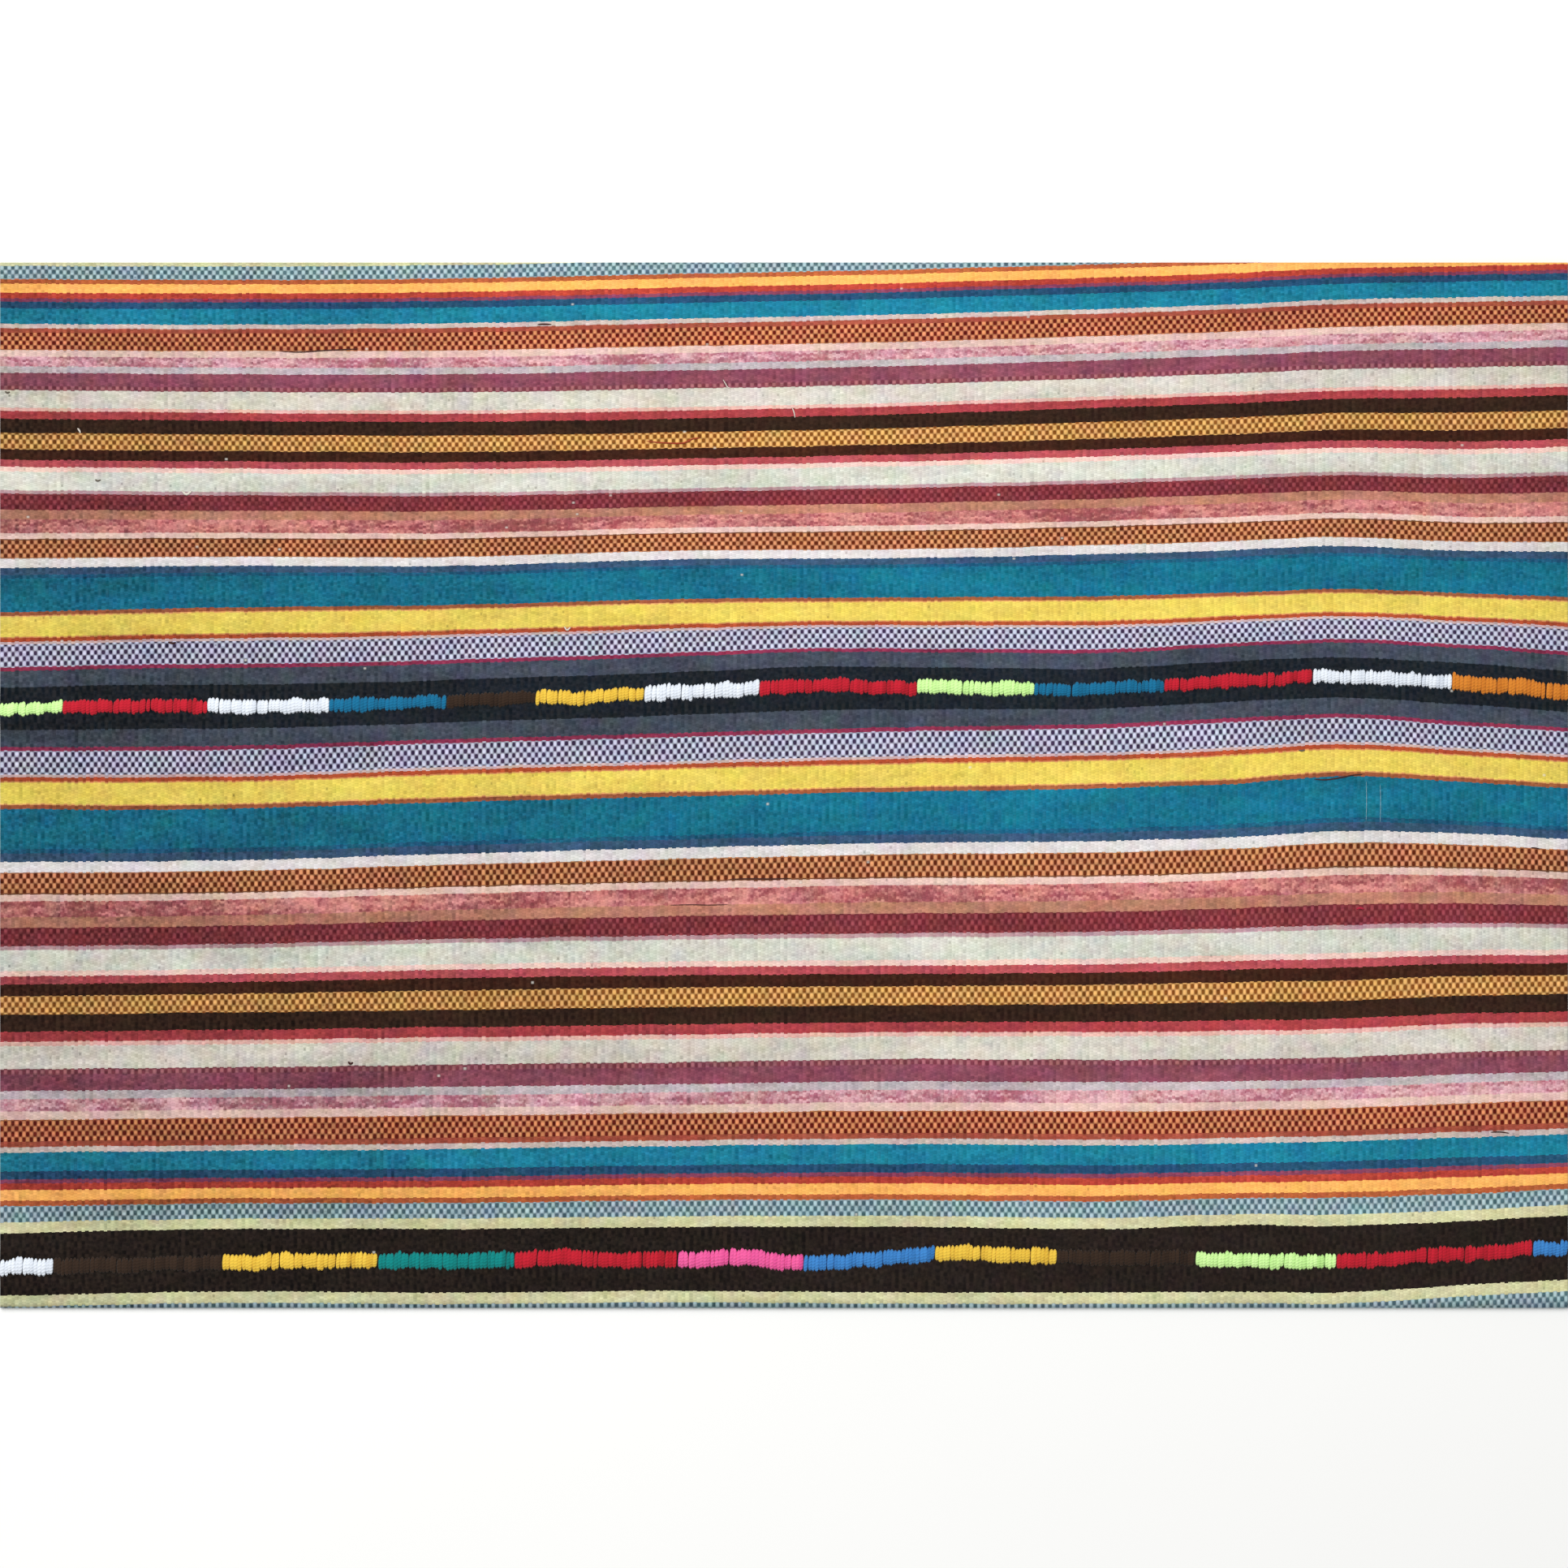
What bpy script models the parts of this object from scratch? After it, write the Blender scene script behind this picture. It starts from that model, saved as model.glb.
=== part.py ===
# A cut length of striped wool flatweave: three warp-faced strips sewn edge to edge,
# with bars of coloured satin stitch lying over both seams.
# Metres. X runs along the warps and the stripes, Y across them, Z is up from the floor.
# The origin is on the floor, under the middle of the cloth.

import bpy
import bmesh
import numpy as np

LENGTH = 0.966
WIDTH = 0.644
THICKNESS = 0.0025
CLEARANCE = 0.0003
COLUMN_STEP = 0.020
ROW_STEP = 0.026

# The selvedges rise a little towards each seam, where the stitches draw them together.
SEAM_RISE = 0.0010
SEAM_BAND = 0.009
SEAM_ROWS = [0.0, 0.003, 0.006, 0.009]

# Each bar of satin stitch is an arched pad over the seam.
STITCH_HEIGHT = 0.0014
STITCH_EDGE_HEIGHT = 0.0005
STITCH_COLUMN_STEP = 0.016
STITCH_ENDS_APART = 0.0006
STITCH_POINTS = [-1.0, -0.5, 0.0, 0.5, 1.0]

# The two seam lines: X and Y in millimetres.
SEAM_LINES = {
    "upper": [
        (-483, 47.3), (-408, 48.7), (-318, 49.0), (-243, 50.5), (-183, 53.0), (-123, 54.8), (-48, 58.0),
        (17, 61.4), (82, 60.5), (154, 59.6), (180, 59.0), (234, 61.8), (297, 65.6), (347, 66.8), (397, 64.2),
        (442, 61.4), (483, 57.3),
    ],
    "lower": [
        (-483, -296.8), (-408, -295.3), (-333, -293.8), (-243, -292.4), (-203, -293.4), (-163, -292.0),
        (-133, -290.4), (-103, -292.8), (-68, -291.8), (-33, -290.3), (5, -294.0), (42, -293.0), (87, -288.4),
        (162, -290.0), (255, -291.0), (317, -292.8), (347, -292.6), (397, -289.8), (457, -285.4),
        (483, -284.2),
    ],
}

# Soft rises where the cloth doesn't lie down on the floor, all in millimetres.
COCKLES = [
    # centre_x, centre_y, half_length, half_width, height
    (335, 45, 125, 120, 4.0),
    (-225, 200, 150, 80, 2.0),
    (240, -232, 100, 60, 2.0),
]

# Bars of stitching along each seam, left to right, in millimetres. The width is across the seam.
STITCHES = {
    "upper": [
        # start, end, width, colour
        (-483, -444, 7.0, "lime"),
        (-444, -355, 7.5, "red"),
        (-355, -280, 8.5, "white"),
        (-280, -208, 7.5, "blue"),
        (-208, -153, 7.0, "brown"),
        (-153, -86, 8.0, "yellow"),
        (-86, -15, 9.0, "white"),
        (-15, 82, 8.0, "red"),
        (82, 154, 8.0, "lime"),
        (154, 234, 7.0, "blue"),
        (234, 325, 7.5, "red"),
        (325, 411, 7.5, "white"),
        (411, 483, 10.0, "orange"),
    ],
    "lower": [
        (-483, -450, 9.5, "white"),
        (-450, -346, 9.0, "brown"),
        (-346, -250, 9.0, "yellow"),
        (-250, -166, 9.5, "green"),
        (-166, -66, 9.0, "red"),
        (-66, 12, 9.5, "pink"),
        (12, 93, 8.5, "cornflower"),
        (93, 168, 9.0, "yellow"),
        (168, 253, 8.5, "brown"),
        (253, 340, 8.5, "lime"),
        (340, 461, 8.5, "red"),
        (461, 483, 8.5, "cornflower"),
    ],
}

# Linear colours of the wools.
YARN_COLOURS = {
    "lime": (0.46, 0.83, 0.20),
    "red": (0.48, 0.02, 0.03),
    "white": (0.75, 0.78, 0.82),
    "blue": (0.02, 0.15, 0.30),
    "brown": (0.035, 0.020, 0.012),
    "yellow": (0.76, 0.47, 0.05),
    "green": (0.01, 0.23, 0.19),
    "pink": (0.83, 0.11, 0.35),
    "cornflower": (0.06, 0.22, 0.55),
    "orange": (0.60, 0.18, 0.02),
}
STRIP_COLOURS = {
    "upper_strip": (0.32, 0.12, 0.10),
    "middle_strip": (0.30, 0.13, 0.11),
    "lower_strip": (0.10, 0.06, 0.04),
}
WOOL_ROUGHNESS = 0.9

MM = 0.001


def clear_scene():
    for thing in list(bpy.data.objects):
        bpy.data.objects.remove(thing, do_unlink=True)


def wool(name, colour):
    material = bpy.data.materials.new(name)
    material.use_nodes = True
    shader = material.node_tree.nodes["Principled BSDF"]
    shader.inputs["Base Color"].default_value = (*colour, 1.0)
    shader.inputs["Roughness"].default_value = WOOL_ROUGHNESS
    shader.inputs["Metallic"].default_value = 0.0
    return material


def seam_y(seam, x):
    # A cubic through the seam's points, whose slope at each point comes from its neighbours.
    points = np.array(SEAM_LINES[seam]) * MM
    knots = points[:, 0]
    heights = points[:, 1]
    slopes = np.gradient(heights, knots)
    left = np.clip(np.searchsorted(knots, x) - 1, 0, len(knots) - 2)
    span = knots[left + 1] - knots[left]
    t = (x - knots[left]) / span
    start = heights[left] * (1 + 2 * t) * (1 - t) ** 2 + slopes[left] * span * t * (1 - t) ** 2
    end = heights[left + 1] * t ** 2 * (3 - 2 * t) - slopes[left + 1] * span * t ** 2 * (1 - t)
    return start + end


def cloth_lift(x, y):
    # Height of the cloth's underside over the floor: the cockles, and a smooth rise towards each seam.
    lift = np.zeros(np.broadcast(x, y).shape)
    for centre_x, centre_y, half_length, half_width, height in COCKLES:
        reach = ((x / MM - centre_x) / half_length) ** 2 + ((y / MM - centre_y) / half_width) ** 2
        lift = lift + height * MM * np.clip(1 - reach, 0, None) ** 2
    for seam in SEAM_LINES:
        near = np.clip(1 - np.abs(y - seam_y(seam, x)) / SEAM_BAND, 0, 1)
        lift = lift + SEAM_RISE * near ** 2 * (3 - 2 * near)
    return lift


def solid_from_underside(name, x, y, z, rise, material):
    # x, y, z and rise are grids of one shape: the underside's points, and the thickness over each.
    mesh = bpy.data.meshes.new(name)
    model = bmesh.new()
    layer = model.verts.layers.float.new("rise")
    columns, rows = x.shape
    grid = []
    for i in range(columns):
        line = []
        for j in range(rows):
            vertex = model.verts.new((x[i, j], y[i, j], z[i, j]))
            vertex[layer] = rise[i, j]
            line.append(vertex)
        grid.append(line)
    for i in range(columns - 1):
        for j in range(rows - 1):
            model.faces.new((grid[i][j], grid[i][j + 1], grid[i + 1][j + 1], grid[i + 1][j]))
    raised = bmesh.ops.extrude_face_region(model, geom=model.faces[:])
    for element in raised["geom"]:
        if isinstance(element, bmesh.types.BMVert):
            element.co.z += element[layer]
    bmesh.ops.recalc_face_normals(model, faces=model.faces[:])
    model.verts.layers.float.remove(layer)
    model.to_mesh(mesh)
    model.free()
    mesh.materials.append(material)
    thing = bpy.data.objects.new(name, mesh)
    bpy.context.scene.collection.objects.link(thing)
    return thing


def column_places(start, end, step):
    count = max(2, int(round((end - start) / step)) + 1)
    return np.linspace(start, end, count)


def strip(name, low_seam, high_seam):
    # A woven strip between two lines. A side with no seam is the cloth's straight cut edge.
    x = column_places(-LENGTH / 2, LENGTH / 2, COLUMN_STEP)
    low = seam_y(low_seam, x) + CLEARANCE / 2 if low_seam else np.full(x.shape, -WIDTH / 2)
    high = seam_y(high_seam, x) - CLEARANCE / 2 if high_seam else np.full(x.shape, WIDTH / 2)
    low_rows = SEAM_ROWS if low_seam else [0.0]
    high_rows = SEAM_ROWS if high_seam else [0.0]
    inner_width = np.mean(high - low) - low_rows[-1] - high_rows[-1]
    inner_count = max(1, int(round(inner_width / ROW_STEP)))
    rows = [low + d for d in low_rows]
    inner_low = low + low_rows[-1]
    inner_high = high - high_rows[-1]
    for k in range(1, inner_count):
        rows.append(inner_low + (inner_high - inner_low) * k / inner_count)
    rows += [high - d for d in reversed(high_rows)]
    y = np.array(rows).T
    x_grid = np.repeat(x[:, None], y.shape[1], axis=1)
    lift = cloth_lift(x_grid, y)
    rise = np.full(x_grid.shape, THICKNESS)
    return solid_from_underside(name, x_grid, y, lift, rise, wool(name, STRIP_COLOURS[name]))


def stitch_bar(seam, number, start, end, width, colour):
    # An arched pad over the seam, lowest at its two sides.
    inset = STITCH_ENDS_APART / 2
    x = column_places(start * MM + inset, end * MM - inset, STITCH_COLUMN_STEP)
    across = np.array(STITCH_POINTS)
    x_grid = np.repeat(x[:, None], len(across), axis=1)
    y = seam_y(seam, x)[:, None] + across[None, :] * width * MM / 2
    z = cloth_lift(x_grid, y) + THICKNESS + CLEARANCE
    crown = np.sqrt(np.clip(1 - across ** 2, 0, 1))
    profile = STITCH_EDGE_HEIGHT + (STITCH_HEIGHT - STITCH_EDGE_HEIGHT) * crown
    rise = np.repeat(profile[None, :], len(x), axis=0)
    name = f"{seam}_seam_{number:02d}_{colour}"
    return solid_from_underside(name, x_grid, y, z, rise, wool(name, YARN_COLOURS[colour]))


def build():
    clear_scene()
    strip("upper_strip", "upper", None)
    strip("middle_strip", "lower", "upper")
    strip("lower_strip", None, "lower")
    for seam, bars in STITCHES.items():
        for number, (start, end, width, colour) in enumerate(bars, 1):
            stitch_bar(seam, number, start, end, width, colour)


build()
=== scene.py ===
import bpy
import numpy as np
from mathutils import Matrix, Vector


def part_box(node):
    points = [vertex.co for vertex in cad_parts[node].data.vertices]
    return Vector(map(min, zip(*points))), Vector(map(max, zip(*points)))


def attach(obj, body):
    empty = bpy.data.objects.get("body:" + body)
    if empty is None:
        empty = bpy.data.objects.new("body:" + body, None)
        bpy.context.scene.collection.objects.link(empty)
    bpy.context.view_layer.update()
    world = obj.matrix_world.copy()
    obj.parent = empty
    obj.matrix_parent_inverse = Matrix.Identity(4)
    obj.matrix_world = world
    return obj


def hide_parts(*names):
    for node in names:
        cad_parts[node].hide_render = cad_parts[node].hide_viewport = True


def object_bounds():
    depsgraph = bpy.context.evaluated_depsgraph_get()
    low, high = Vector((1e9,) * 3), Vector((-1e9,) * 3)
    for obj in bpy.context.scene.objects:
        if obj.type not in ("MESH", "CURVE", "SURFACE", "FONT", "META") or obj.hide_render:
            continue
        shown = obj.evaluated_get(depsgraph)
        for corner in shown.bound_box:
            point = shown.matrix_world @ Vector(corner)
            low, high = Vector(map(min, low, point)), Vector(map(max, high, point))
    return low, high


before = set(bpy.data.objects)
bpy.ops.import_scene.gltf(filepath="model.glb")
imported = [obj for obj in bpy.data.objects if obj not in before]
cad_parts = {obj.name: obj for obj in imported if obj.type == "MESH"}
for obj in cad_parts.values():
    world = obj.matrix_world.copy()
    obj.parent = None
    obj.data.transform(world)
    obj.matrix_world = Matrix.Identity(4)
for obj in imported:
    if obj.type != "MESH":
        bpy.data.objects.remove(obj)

mm = 0.001
body = "root"
cadLow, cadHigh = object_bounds()
clothLength = cadHigh.x - cadLow.x

# Sizes of the cloth. model.glb holds its length and width, the strips' outlines and the bars' places.
cloth = {
    "thickness": 2.5 * mm,
    "picks": 420,                # weft ribs along the length, 2.3 mm apart
    "columnsPerPick": 4,
    "ribHeight": 0.12 * mm,      # how far a rib stands over the valley beside it
    "ribJitter": 0.05,           # uneven beating of the weft, as a share of a rib
    "ribSway": 0.9 * mm,         # how far a rib bends sideways over the cloth's width
    "swayPower": 8,              # the higher, the nearer to its cut ends the cloth's ribs still bend
    "swayWaves": [
        # radians per metre across and along the cloth, start in radians, share
        (9.0, 0.0, 1.0, 0.6),
        (23.0, 5.0, 0.0, 0.4),
    ],
    "rowStep": 9.0 * mm,
    "narrowBand": 3.0 * mm,      # a band under this width has two rows
    "selvedgeRow": 0.9 * mm,
    "selvedgeWidth": 2.6 * mm,
    "selvedgeDrop": 0.9 * mm,    # the rounded edge of each strip at a seam
    "selvedgeTuck": 0.3,         # the underside is rounded by this share of it
    "seamRise": 1.0 * mm,        # selvedges are drawn up by the stitches
    "seamBand": 9.0 * mm,
    "pickOffset": 600,           # picks from one strip's pattern of chance to the next one's
}

# Soft rises where the cloth doesn't lie down on the floor, in millimetres.
cockles = [
    # centre x, centre y, half length, half width, height
    (335, 45, 125, 120, 4.0),
    (-225, 200, 150, 80, 2.0),
    (240, -232, 100, 60, 2.0),
]

# One strip's warp ends in threading order, from its navy selvedge to its black selvedge. All three strips
# are cut from this one long strip. In a check two yarns take turns, four ends and one pick to a square, and
# the last number is the light yarn's share. In a plain stripe the yarn drifts between two dyeings by that
# number.
threading = [
    # stripe, ends, first yarn, second yarn, kind, share or drift
    ("navy selvedge", 17, "#141f29", "#0e161d", "plain", 0.35),
    ("slate", 13, "#444c5a", "#363e4c", "plain", 0.45),
    ("crimson line", 3, "#90304e", "#782646", "plain", 0.30),
    ("blue check", 18, "#c3c5da", "#332644", "check", 0.56),
    ("pale line", 2, "#caafad", "#b89ea0", "plain", 0.30),
    ("rust line", 3, "#b5502f", "#9a4026", "plain", 0.30),
    ("amber line", 1, "#d0905a", "#c0804e", "plain", 0.30),
    ("yellow", 16, "#e7d060", "#d7bd52", "plain", 0.40),
    ("amber line", 1, "#e0a864", "#d09858", "plain", 0.30),
    ("rust line", 3, "#a25c3c", "#8a4a30", "plain", 0.30),
    ("teal", 28, "#0b6e8a", "#0b6179", "plain", 0.45),
    ("teal and indigo", 3, "#155e7d", "#144e6d", "plain", 1.00),
    ("indigo", 6, "#385474", "#2c4b67", "plain", 0.60),
    ("white", 8, "#dfdbdc", "#cdc6c3", "plain", 0.40),
    ("orange check", 16, "#ce8c62", "#5b210a", "check", 0.48),
    ("brown line", 1, "#7a4c34", "#643c26", "plain", 0.30),
    ("cream", 5, "#e5c4b9", "#d0aea2", "plain", 0.40),
    ("coral heather", 12, "#cf8881", "#994f53", "plain", 1.00),
    ("tan", 8, "#bc816b", "#a46e5b", "plain", 0.60),
    ("maroon check", 14, "#893c43", "#662029", "check", 0.50),
    ("grey white", 3, "#b8959a", "#a8868b", "plain", 0.40),
    ("off-white", 16, "#d5d6cb", "#c3c2b6", "plain", 0.50),
    ("warm white", 4, "#edc9be", "#dfbdb3", "plain", 0.40),
    ("rose red", 6, "#b95158", "#a3454c", "plain", 0.35),
    ("black", 9, "#3f1d11", "#2f160e", "plain", 0.35),
    ("gold check", 14, "#dfaa66", "#774415", "check", 0.52),
    ("black", 12, "#321e14", "#26150f", "plain", 0.35),
    ("rose red", 7, "#ab4146", "#96373d", "plain", 0.35),
    ("warm white", 3, "#e2b4aa", "#d6a89e", "plain", 0.40),
    ("off-white", 16, "#d5d0c5", "#c3bdb1", "plain", 0.50),
    ("purple dots", 4, "#9d5f67", "#713441", "check", 0.55),
    ("purple", 12, "#8c4c5c", "#793e4f", "plain", 0.55),
    ("light grey", 6, "#c1b5b8", "#ab9fa3", "plain", 0.50),
    ("pink heather", 9, "#d6a7ad", "#a76472", "plain", 1.00),
    ("cream", 6, "#e2c0b7", "#cfaea3", "plain", 0.40),
    ("orange check", 16, "#d2875d", "#5d110a", "check", 0.48),
    ("dark red line", 4, "#aa5440", "#924234", "plain", 0.40),
    ("white line", 4, "#cfbcb6", "#baaaa4", "plain", 0.40),
    ("teal", 15, "#157e9b", "#116f88", "plain", 0.45),
    ("indigo", 5, "#1f4c6d", "#184363", "plain", 0.50),
    ("crimson line", 3, "#86405a", "#743650", "plain", 0.30),
    ("orange line", 5, "#b84335", "#a3372d", "plain", 0.30),
    ("amber", 8, "#fab965", "#f0a957", "plain", 0.35),
    ("rust line", 4, "#be6437", "#a35132", "plain", 0.30),
    ("light blue check", 12, "#a6bec4", "#48636d", "check", 0.54),
    ("pale yellow", 8, "#d7d7ab", "#c1bd92", "plain", 0.45),
    ("black selvedge", 23, "#221a18", "#18120f", "plain", 0.35),
]
endCount = sum(row[1] for row in threading)

# Where single ends run across the cloth: Y in millimetres at each of guideX. The ends in between share the
# space.
guideX = [-483, -345, -207, -69, 69, 207, 276, 345, 414, 483]
guides = {
    "upper_strip": [
        # end, Y at each of guideX
        (76.0, [106.1, 109.1, 110.7, 114.2, 115.4, 116.3, 118.2, 120.5, 118.2, 115.5]),
        (114.0, [134.1, 135.5, 135.4, 139.4, 140.3, 143.1, 145.2, 147.7, 144.8, 144.2]),
        (179.6, [181.2, 180.0, 179.5, 182.1, 184.5, 187.7, 190.1, 192.5, 190.8, 192.3]),
        (243.2, [227.1, 225.8, 224.9, 227.0, 229.7, 234.2, 236.5, 239.4, 240.1, 241.6]),
        (329.4, [284.8, 284.3, 285.1, 287.9, 290.6, 294.4, 296.8, 299.8, 301.1, 302.3]),
    ],
    "middle_strip": [
        (30.0, [23.0, 23.8, 28.0, 31.7, 35.3, 37.8, 40.7, 43.4, 39.0, 35.0]),
        (75.0, [-13.5, -13.3, -9.1, -5.7, -2.7, -0.2, 2.3, 6.9, 3.6, -0.8]),
        (114.4, [-48.2, -47.1, -43.2, -39.4, -36.4, -34.9, -32.9, -28.9, -30.4, -34.0]),
        (199.4, [-117.1, -115.6, -112.7, -111.0, -110.2, -109.1, -107.3, -105.9, -104.0, -103.7]),
        (230.0, [-142.0, -140.4, -138.8, -137.1, -136.0, -135.1, -134.2, -133.1, -130.4, -129.0]),
        (268.4, [-175.7, -174.7, -173.0, -171.5, -169.5, -170.0, -169.6, -168.2, -165.3, -164.1]),
        (306.0, [-207.6, -206.1, -204.8, -203.2, -201.7, -202.1, -201.4, -200.0, -197.5, -195.2]),
        (350.0, [-244.3, -243.2, -242.5, -240.5, -239.8, -240.4, -239.2, -238.0, -236.1, -233.7]),
        (390.4, [-277.6, -274.8, -274.8, -273.8, -273.6, -274.7, -272.5, -272.9, -270.4, -266.6]),
    ],
    "lower_strip": [
        (389.6, [-313.6, -311.0, -311.7, -310.6, -311.6, -311.5, -311.1, -311.4, -307.2, -303.7]),
    ],
}

# Spacing of the ends between the last guide and the cloth's cut side.
cutPitch = {"upper_strip": 0.69 * mm, "lower_strip": 0.87 * mm}

rng = np.random.default_rng(41)


def smoothLine(knots, values, x):
    # Cubic through points (knots, values), whose slope at each point is the one through its neighbours.
    knots = np.asarray(knots, float)
    values = np.asarray(values, float)
    slopes = np.gradient(values, knots)
    left = np.clip(np.searchsorted(knots, x) - 1, 0, len(knots) - 2)
    span = knots[left + 1] - knots[left]
    t = (x - knots[left]) / span
    start = values[left] * (1 + 2 * t) * (1 - t) ** 2 + slopes[left] * span * t * (1 - t) ** 2
    end = values[left + 1] * t ** 2 * (3 - 2 * t) - slopes[left + 1] * span * t ** 2 * (1 - t)
    return start + end


def nodePoints(node):
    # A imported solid's points, one row each.
    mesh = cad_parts[node].data
    points = np.empty(len(mesh.vertices) * 3, np.float32)
    mesh.vertices.foreach_get("co", points)
    return points.reshape(-1, 3)


# The seams lie just outside the middle strip, halfway across the gap to its neighbours.
seams = {
    "gap": 0.3 * mm,
    "sameColumn": 0.1 * mm,      # points no further apart along X are one column
    "furthest": 20.0 * mm,       # a strip's edge strays less than this from its middle line
}


def outlineOf(node, outermost):
    # The line of a strip's lowest (outermost=np.min) or highest (outermost=np.max) Y along X, from the packed
    # solid. Columns that lost their outer point, because the outline is straight there, are left out.
    points = nodePoints(node)
    columns = np.unique(np.round(points[:, 0], 4))
    inColumn = [np.abs(points[:, 0] - c) < seams["sameColumn"] for c in columns]
    line = np.array([outermost(points[chosen, 1]) for chosen in inColumn])
    kept = np.abs(line - np.median(line)) < seams["furthest"]
    return columns[kept], line[kept]


middleLow = outlineOf("middle_strip", np.min)
middleHigh = outlineOf("middle_strip", np.max)
seamLines = {
    "upper": (middleHigh[0], middleHigh[1] + seams["gap"] / 2),
    "lower": (middleLow[0], middleLow[1] - seams["gap"] / 2),
}


def seamY(seam, x):
    # A seam's Y at x.
    return smoothLine(*seamLines[seam], x)


def clothLift(x, y):
    # Height of the underside: each cockle is height * (1 - r^2)^2 with r the distance from its centre in its
    # own half sizes, and each seam adds a smooth step of the distance to it.
    lift = np.zeros(np.broadcast(x, y).shape)
    for centreX, centreY, halfLength, halfWidth, height in cockles:
        reach = ((x / mm - centreX) / halfLength) ** 2 + ((y / mm - centreY) / halfWidth) ** 2
        lift = lift + height * mm * np.clip(1 - reach, 0, None) ** 2
    for seam in seamLines:
        near = np.clip(1 - np.abs(y - seamY(seam, x)) / cloth["seamBand"], 0, 1)
        lift = lift + cloth["seamRise"] * near ** 2 * (3 - 2 * near)
    return lift


def addNode(tree, kind, settings=None, links=None):
    # One shader node: settings are its properties, links its inputs, each a value or another node's output.
    node = tree.nodes.new("ShaderNode" + kind)
    for name, value in (settings or {}).items():
        setattr(node, name, value)
    for name, value in (links or {}).items():
        if isinstance(value, bpy.types.Node):
            value = value.outputs[0]
        if isinstance(value, bpy.types.NodeSocket):
            tree.links.new(value, node.inputs[name])
        else:
            node.inputs[name].default_value = value
    return node


def linear(hexColour):
    # sRGB hex to linear: below 0.04045 a straight line, above it a power of 2.4.
    srgb = np.array([int(hexColour[i:i + 2], 16) for i in (1, 3, 5)]) / 255
    rgb = np.where(srgb <= 0.04045, srgb / 12.92, ((srgb + 0.055) / 1.055) ** 2.4)
    return (*[float(c) for c in rgb], 1.0)


def newMaterial(name):
    # An empty material, its node tree and its shader.
    material = bpy.data.materials.new(name)
    material.use_nodes = True
    tree = material.node_tree
    return material, tree, tree.nodes["Principled BSDF"]


def addPiece(name, points, polygons, smooth, uvName, uv, material):
    # A mesh that rides on the body, with one row of uv for each point.
    mesh = bpy.data.meshes.new(name)
    mesh.from_pydata(points.tolist(), [], polygons)
    mesh.polygons.foreach_set("use_smooth", smooth)
    corners = np.empty(len(mesh.loops), np.int32)
    mesh.loops.foreach_get("vertex_index", corners)
    uvMap = mesh.uv_layers.new(name=uvName)
    uvMap.data.foreach_set("uv", uv[corners].astype(np.float32).ravel())
    mesh.materials.append(material)
    mesh.update()
    piece = bpy.data.objects.new(name, mesh)
    bpy.context.scene.collection.objects.link(piece)
    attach(piece, body)
    return piece


weave = {
    "rampSlots": 255,          # a colour ramp is a table of 256 colours, one for each end here
    "splitEnd": 216,           # two ramps share the ends
    "wander": 0.7,             # how far a stripe's edge strays, in ends
    "wanderPerMetre": 38.0,
    "borderStep": 0.35,        # how far a stripe's edge steps from pick to pick, in ends
    "borderJitter": 0.50,
    "streakPicks": 6.0,        # length of a colour streak in a heathered yarn, in picks
    "streakRows": 5.37,        # how unlike the streaks of neighbouring ends are
    "streakGain": 4.5,
    "streakDrift": 2.5,        # how far its mix of dyes changes over the cloth
    "checkGain": 1.25,         # sharpness of a check's squares
    "crevice": 0.16,           # painted shade between the ends of a plain stripe
    # painted shade round the squares of a check
    "checkCrevice": 0.24,
    "meanRise": 0.62,          # mean height of a float, where its painted shade is 1
    "deepWeight": 1.60,        # black wool shows unevenness by this much, and paler wool less
    "weightFall": 1.25,
    "toneFloor": 0.1,
    "floatTone": 0.24,         # brightness change from float to float
    "pickTone": 0.07,          # and from pick to pick
    "fleckTone": 0.28,         # within a float
    "flecksPerMetre": 420.0,
    "driftTone": 0.52,         # over the cloth
    "driftsPerMetre": 9.0,
    "driftStretch": (1.0, 5.0, 1.0),   # it follows the warps
    "ribShadeTone": 0.52,          # painted rib shade: ticks two picks apart, lighter and darker where one set of ends stands higher
    "twinPicks": 6.2,
    "twinEnds": 9.0,
    "nepShare": 0.009,         # share of floats with a dark slub in them, seen in pale wool
    "nepTone": 0.95,
    "hueShift": 0.26,
    "huesPerMetre": 90.0,
    "lintShare": 0.0003,       # share of floats with pale lint on them
    "lintCover": 0.55,
    "lintColour": "#e6e2d8",
    "fuzz": 0.028,             # share of pale brown fibres over the dyed ones
    "fuzzTicks": 3.5,          # they follow the painted rib shade and the floats by these amounts
    "fuzzFloats": 0.5,
    "fuzzBare": 0.3,
    "fuzzColour": "#a88c70",
    "falloffLean": 0.44,          # painted light falloff: the cloth's tone changes along x + this lean * y, darker to the left as painted shade
    "falloffPlaces": (-0.60, 0.25),
    "falloffTones": (-0.20, 0.10),
    # painted shade: the tone dips over the cockle near x = 335 mm and stays lower to the right end
    "foldShadePlaces": (0.20, 0.50),
    "foldShadeTones": (0.0, -0.07),
    "hairiness": 0.6,          # height of the fibres against the floats'
    "bump": 0.10 * mm,
    "bumpStrength": 0.8,
}


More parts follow.
